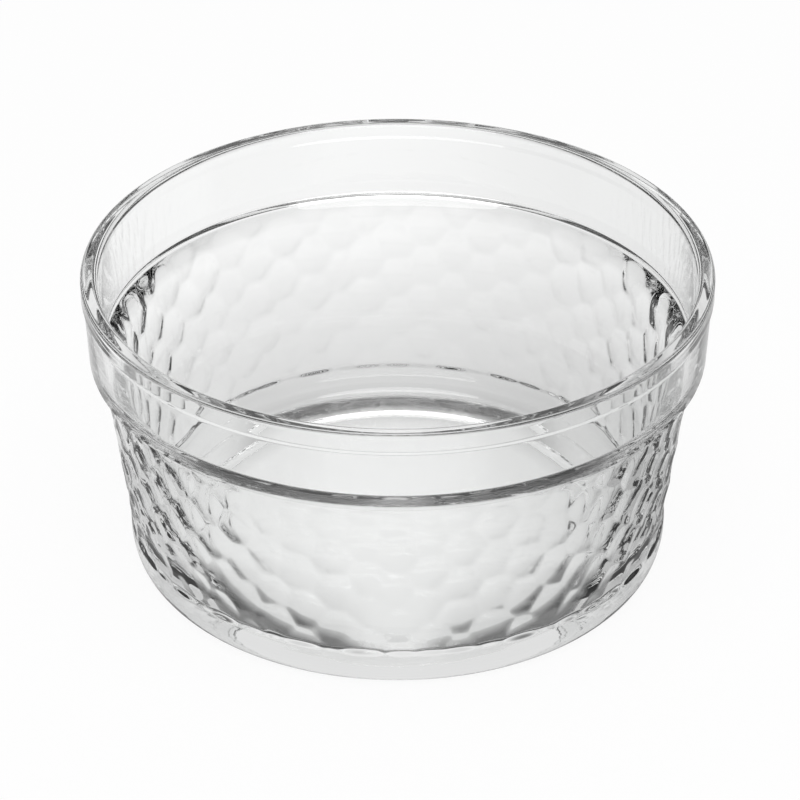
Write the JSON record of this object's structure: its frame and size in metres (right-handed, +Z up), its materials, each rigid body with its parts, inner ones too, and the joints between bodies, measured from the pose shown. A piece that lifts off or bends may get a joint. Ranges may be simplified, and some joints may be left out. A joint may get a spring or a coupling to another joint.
{
  "type": "ramekin",
  "caption": "Round clear pressed-glass ramekin with a plain stepped collar and a hammered outer wall, for baking and serving one small portion.",
  "frame": {"origin": "middle of the foot ring, on the surface that the ramekin stands on", "axes": "+Z up along the axis of the bowl; the bowl is round, so +X and +Y are any two directions across it"},
  "size_m": [0.1, 0.1, 0.0508],
  "materials": {
    "clear_glass": "clear pressed glass, fire-polished smooth"
  },
  "bodies": {
    "root": {"glass_body": "clear_glass"}
  },
  "joints": []
}
